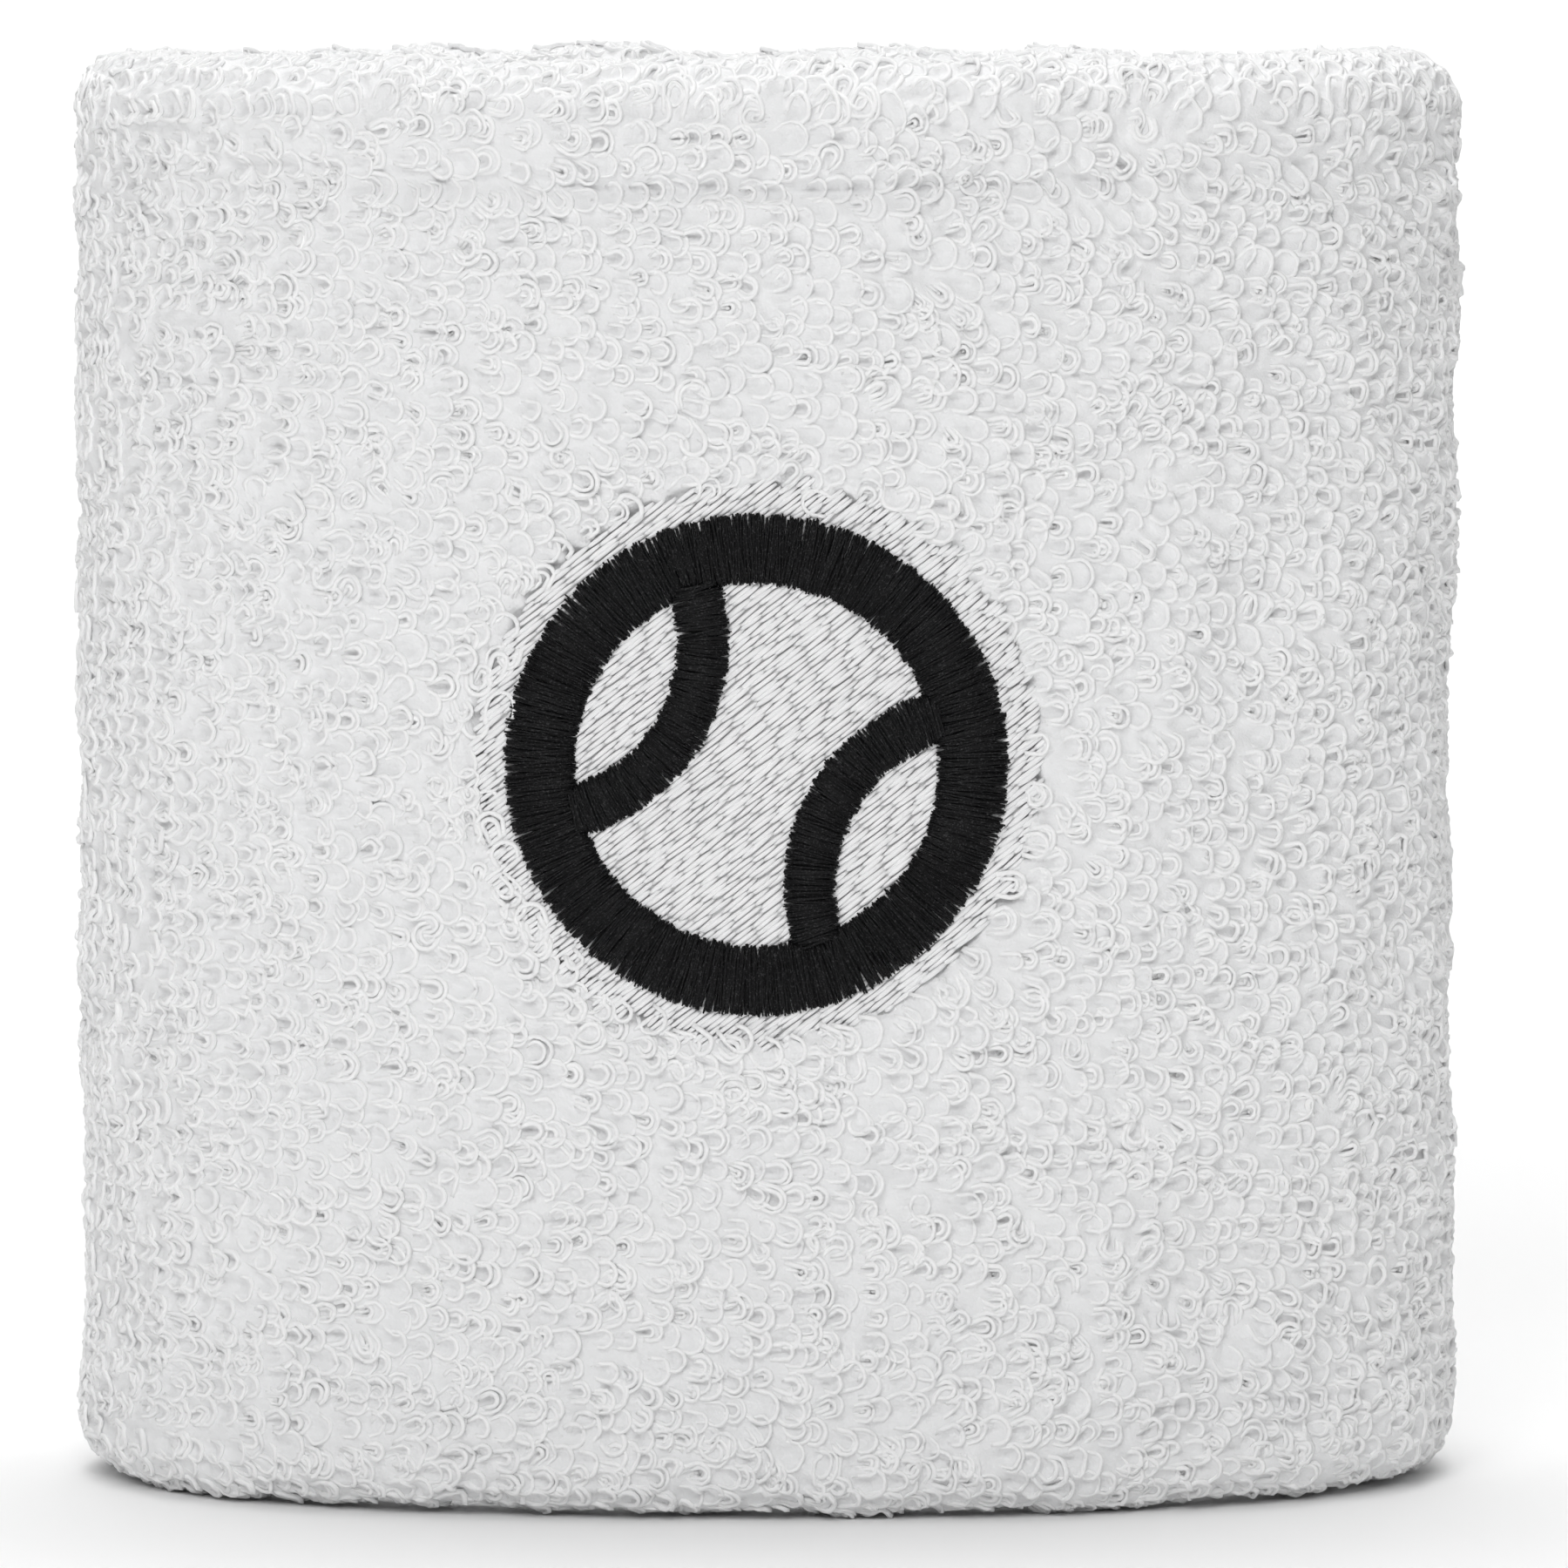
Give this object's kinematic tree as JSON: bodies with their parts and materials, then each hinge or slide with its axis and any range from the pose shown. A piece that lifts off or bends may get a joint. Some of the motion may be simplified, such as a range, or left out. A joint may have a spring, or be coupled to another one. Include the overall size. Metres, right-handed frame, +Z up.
{
  "type": "sweat wristband",
  "caption": "White terry sweat wristband: a knitted loop-pile tube folded double and linked closed, with a round embroidered ball emblem in black and white thread.",
  "frame": {"origin": "middle of the bottom fold that the band stands on", "axes": "+Z up the band along the wrist opening, -Y towards the front with the emblem, +X to the right seen from the front"},
  "size_m": [0.0776, 0.042, 0.08],
  "materials": {
    "terry_cotton": "soft cotton terry loops, matt",
    "ground_yarn": "fine knitted ground, matt",
    "covered_elastic": "covered elastane yarn, smooth",
    "sewing_thread": "spun polyester thread, satin",
    "nonwoven_backing": "pressed fibre sheet, matt",
    "white_embroidery_thread": "embroidery thread, soft lustre",
    "black_embroidery_thread": "embroidery thread, soft lustre"
  },
  "bodies": {
    "root": {"terry_pile": "terry_cotton", "ground_knit": "ground_yarn", "elastic_yarn": "covered_elastic", "linking_thread": "sewing_thread", "emblem_backing": "nonwoven_backing", "bobbin_thread": "sewing_thread", "white_stitch_patch": "white_embroidery_thread", "ball_seam_stitches_left": "black_embroidery_thread", "ball_outline_stitches": "black_embroidery_thread", "ball_seam_stitches_right": "black_embroidery_thread"}
  },
  "joints": []
}
